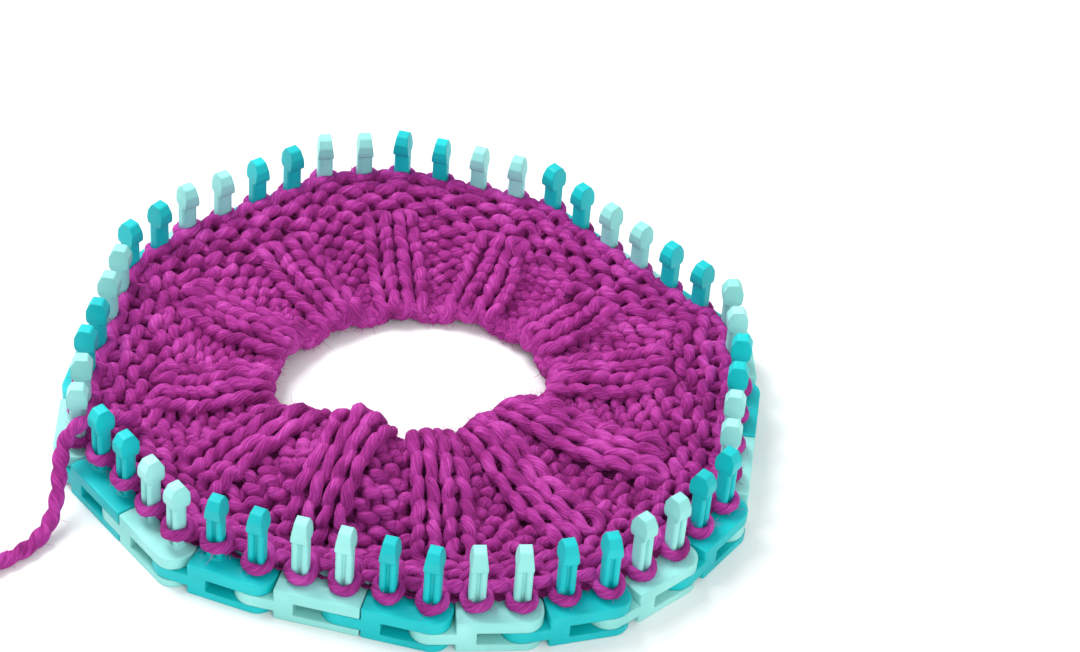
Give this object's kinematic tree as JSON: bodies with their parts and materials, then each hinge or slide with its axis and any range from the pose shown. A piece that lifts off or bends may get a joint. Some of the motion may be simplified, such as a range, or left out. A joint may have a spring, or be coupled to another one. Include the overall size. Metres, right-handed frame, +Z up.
{
  "type": "knitting loom",
  "caption": "Ring of hinged loom links with two pegs each, holding a round of chunky knitting with its working yarn",
  "frame": {"origin": "middle of the ring on the surface that it stands on", "axes": "+Z up, -Y the side nearest the camera, +X right"},
  "size_m": [0.3644, 0.2642, 0.0418],
  "materials": {
    "teal_plastic": "satin",
    "mint_plastic": "satin",
    "yarn": "matte"
  },
  "bodies": {
    "link_16": {"mint_link_16": "mint_plastic", "knitting_16": "yarn"},
    "link_01_02": {"teal_link_01": "teal_plastic", "mint_link_02": "mint_plastic", "knitting_01": "yarn", "knitting_02": "yarn", "yarn_tail": "yarn", "yarn_tail_coil": "yarn"},
    "link_03": {"teal_link_03": "teal_plastic", "knitting_03": "yarn"},
    "link_04": {"mint_link_04": "mint_plastic", "knitting_04": "yarn"},
    "link_05": {"teal_link_05": "teal_plastic", "knitting_05": "yarn"},
    "link_06": {"mint_link_06": "mint_plastic", "knitting_06": "yarn"},
    "link_07": {"teal_link_07": "teal_plastic", "knitting_07": "yarn"},
    "link_08": {"mint_link_08": "mint_plastic", "knitting_08": "yarn"},
    "link_09": {"teal_link_09": "teal_plastic", "knitting_09": "yarn"},
    "link_10_11": {"mint_link_10": "mint_plastic", "teal_link_11": "teal_plastic", "knitting_10": "yarn", "knitting_11": "yarn"},
    "link_12": {"mint_link_12": "mint_plastic", "knitting_12": "yarn"},
    "link_13_14": {"teal_link_13": "teal_plastic", "mint_link_14": "mint_plastic", "knitting_13": "yarn", "knitting_14": "yarn"},
    "link_15": {"teal_link_15": "teal_plastic", "knitting_15": "yarn"},
    "link_17": {"teal_link_17": "teal_plastic", "knitting_17": "yarn"},
    "link_18": {"mint_link_18": "mint_plastic", "knitting_18": "yarn"},
    "link_19_20": {"teal_link_19": "teal_plastic", "mint_link_20": "mint_plastic", "knitting_19": "yarn", "knitting_20": "yarn"},
    "link_21": {"teal_link_21": "teal_plastic", "knitting_21": "yarn"},
    "link_22_23": {"mint_link_22": "mint_plastic", "teal_link_23": "teal_plastic", "knitting_22": "yarn", "knitting_23": "yarn"},
    "link_24": {"mint_link_24": "mint_plastic", "knitting_24": "yarn"}
  },
  "joints": [
    {"name": "hinge_15_16", "type": "hinge", "parent": "link_16", "child": "link_15", "pos_m": [0.04656, 0.10424, 0.007], "axis": [0, 0, -1], "range_deg": [-10.07, 10.07], "deforming": ["knitting_15"]},
    {"name": "hinge_14_15", "type": "hinge", "parent": "link_15", "child": "link_13_14", "pos_m": [0.07034, 0.08283, 0.007], "axis": [0, 0, -1], "range_deg": [-3.17, 3.17], "deforming": ["knitting_14"]},
    {"name": "hinge_12_13", "type": "hinge", "parent": "link_13_14", "child": "link_12", "pos_m": [0.11937, 0.04169, 0.007], "axis": [0, 0, -1], "range_deg": [-6.29, 6.29], "deforming": ["knitting_12", "knitting_13"]},
    {"name": "hinge_11_12", "type": "hinge", "parent": "link_12", "child": "link_10_11", "pos_m": [0.12327, 0.00993, 0.007], "axis": [0, 0, -1], "range_deg": [-7.69, 7.69], "deforming": ["knitting_11"]},
    {"name": "hinge_09_10", "type": "hinge", "parent": "link_10_11", "child": "link_09", "pos_m": [0.1188, -0.05391, 0.007], "axis": [0, 0, -1], "range_deg": [-6.22, 6.22], "deforming": ["knitting_09", "knitting_10"]},
    {"name": "hinge_08_09", "type": "hinge", "parent": "link_09", "child": "link_08", "pos_m": [0.10091, -0.08044, 0.007], "axis": [0, 0, -1], "range_deg": [-6.67, 6.67], "deforming": ["knitting_08"]},
    {"name": "hinge_07_08", "type": "hinge", "parent": "link_08", "child": "link_07", "pos_m": [0.07789, -0.10267, 0.007], "axis": [0, 0, -1], "range_deg": [-5.64, 5.64], "deforming": ["knitting_07"]},
    {"name": "hinge_06_07", "type": "hinge", "parent": "link_07", "child": "link_06", "pos_m": [0.04763, -0.11309, 0.007], "axis": [0, 0, -1], "range_deg": [-4.13, 4.13], "deforming": ["knitting_06"]},
    {"name": "hinge_05_06", "type": "hinge", "parent": "link_06", "child": "link_05", "pos_m": [0.01594, -0.11754, 0.007], "axis": [0, 0, -1], "range_deg": [-9.08, 9.08], "deforming": ["knitting_05"]},
    {"name": "hinge_16_17", "type": "hinge", "parent": "link_16", "child": "link_17", "pos_m": [0.01551, 0.11199, 0.007], "axis": [0, 0, 1], "range_deg": [-8.05, 8.05], "deforming": ["knitting_16"]},
    {"name": "hinge_17_18", "type": "hinge", "parent": "link_17", "child": "link_18", "pos_m": [-0.016, 0.11754, 0.007], "axis": [0, 0, 1], "range_deg": [-2.88, 2.88], "deforming": ["knitting_17"]},
    {"name": "hinge_18_19", "type": "hinge", "parent": "link_18", "child": "link_19_20", "pos_m": [-0.0473, 0.11089, 0.007], "axis": [0, 0, 1], "range_deg": [-8.91, 8.91], "deforming": ["knitting_18", "knitting_19"]},
    {"name": "hinge_20_21", "type": "hinge", "parent": "link_19_20", "child": "link_21", "pos_m": [-0.09774, 0.07149, 0.007], "axis": [0, 0, 1], "range_deg": [-8.29, 8.29], "deforming": ["knitting_20"]},
    {"name": "hinge_21_22", "type": "hinge", "parent": "link_21", "child": "link_22_23", "pos_m": [-0.11655, 0.0456, 0.007], "axis": [0, 0, 1], "range_deg": [-9.01, 9.01], "deforming": ["knitting_21", "knitting_22"]},
    {"name": "hinge_23_24", "type": "hinge", "parent": "link_22_23", "child": "link_24", "pos_m": [-0.12324, -0.01805, 0.007], "axis": [0, 0, 1], "range_deg": [-6.46, 6.46], "deforming": ["knitting_23"]},
    {"name": "hinge_24_01", "type": "hinge", "parent": "link_24", "child": "link_01_02", "pos_m": [-0.121, -0.04997, 0.007], "axis": [0, 0, 1], "range_deg": [-7.5, 7.5], "deforming": ["knitting_24", "knitting_01"]},
    {"name": "hinge_02_03", "type": "hinge", "parent": "link_01_02", "child": "link_03", "pos_m": [-0.07769, -0.09709, 0.007], "axis": [0, 0, 1], "range_deg": [-6.98, 6.98], "deforming": ["knitting_02"]},
    {"name": "hinge_03_04", "type": "hinge", "parent": "link_03", "child": "link_04", "pos_m": [-0.04708, -0.10643, 0.007], "axis": [0, 0, 1], "range_deg": [-11.07, 11.07], "deforming": ["knitting_03", "knitting_04"]}
  ],
  "couplings": [
    {"joint": "hinge_14_15", "follows": "hinge_16_17", "ratio": 0.39251},
    {"joint": "hinge_12_13", "follows": "hinge_15_16", "ratio": 0.623},
    {"joint": "hinge_11_12", "follows": "hinge_16_17", "ratio": -0.95395},
    {"joint": "hinge_09_10", "follows": "hinge_15_16", "ratio": -0.61652},
    {"joint": "hinge_08_09", "follows": "hinge_16_17", "ratio": -0.82719},
    {"joint": "hinge_07_08", "follows": "hinge_15_16", "ratio": -0.55838},
    {"joint": "hinge_06_07", "follows": "hinge_15_16", "ratio": -0.40901},
    {"joint": "hinge_05_06", "follows": "hinge_16_17", "ratio": 1.1256},
    {"joint": "hinge_17_18", "follows": "hinge_16_17", "ratio": 0.35577},
    {"joint": "hinge_18_19", "follows": "hinge_15_16", "ratio": -0.88337},
    {"joint": "hinge_20_21", "follows": "hinge_16_17", "ratio": -1.0285},
    {"joint": "hinge_21_22", "follows": "hinge_15_16", "ratio": -0.89341},
    {"joint": "hinge_23_24", "follows": "hinge_15_16", "ratio": 0.64013},
    {"joint": "hinge_24_01", "follows": "hinge_16_17", "ratio": -0.92964},
    {"joint": "hinge_02_03", "follows": "hinge_16_17", "ratio": 0.86545},
    {"joint": "hinge_03_04", "follows": "hinge_15_16", "ratio": 1.0976}
  ]
}
